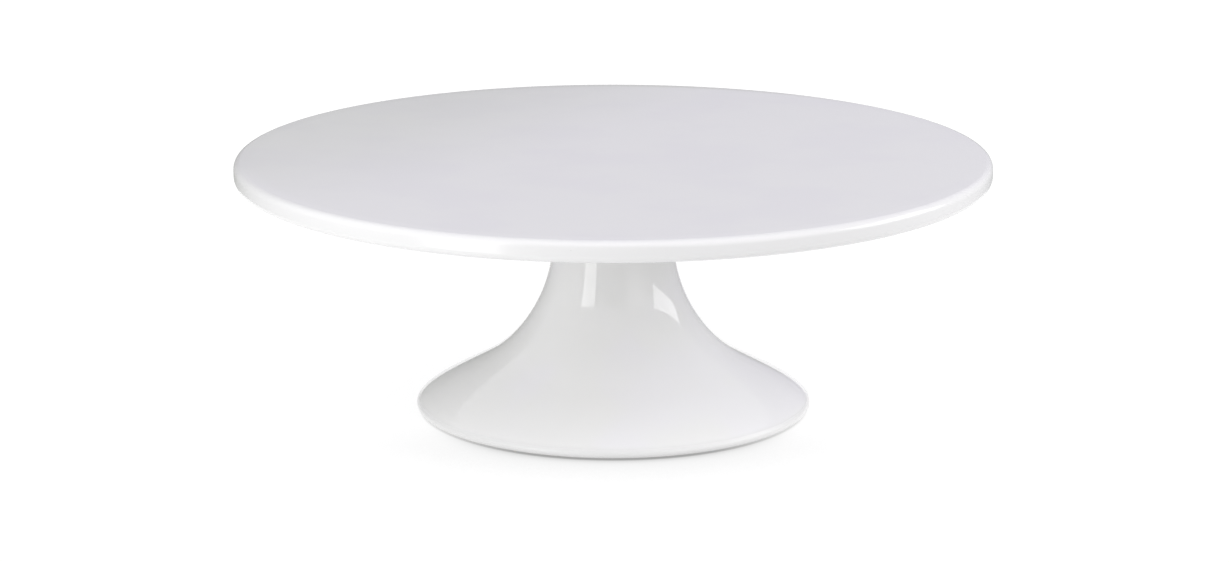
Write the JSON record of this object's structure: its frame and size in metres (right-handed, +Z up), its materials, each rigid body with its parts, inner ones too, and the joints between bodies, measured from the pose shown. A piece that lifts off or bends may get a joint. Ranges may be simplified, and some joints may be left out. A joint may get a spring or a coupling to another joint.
{
  "type": "footed cake stand",
  "caption": "Round, flat porcelain cake plate bolted on a hollow, trumpet-shaped porcelain pedestal, standing on small clear pads.",
  "frame": {"origin": "on the table, under the centre of the plate", "axes": "+Z up along the stand's axis; the stand is round, so X and Y are free, and one foot pad lies on +X"},
  "size_m": [0.3, 0.3, 0.1035],
  "materials": {
    "glazed_porcelain": "gloss",
    "cement": "matte",
    "brass": "satin",
    "silicone": "satin",
    "nylon": "satin",
    "rubber": "matte",
    "stainless_steel": "satin"
  },
  "bodies": {
    "root": {"cake_plate": "glazed_porcelain", "pedestal": "glazed_porcelain", "insert_cement": "cement", "threaded_insert": "brass", "seat_gasket": "silicone", "centring_bush": "nylon", "cushion_washer": "rubber", "load_washer": "stainless_steel", "spring_washer": "stainless_steel", "clamp_screw": "stainless_steel", "foot_pad_1": "silicone", "foot_pad_2": "silicone", "foot_pad_3": "silicone", "foot_pad_4": "silicone", "foot_pad_5": "silicone", "foot_pad_6": "silicone"}
  },
  "joints": []
}
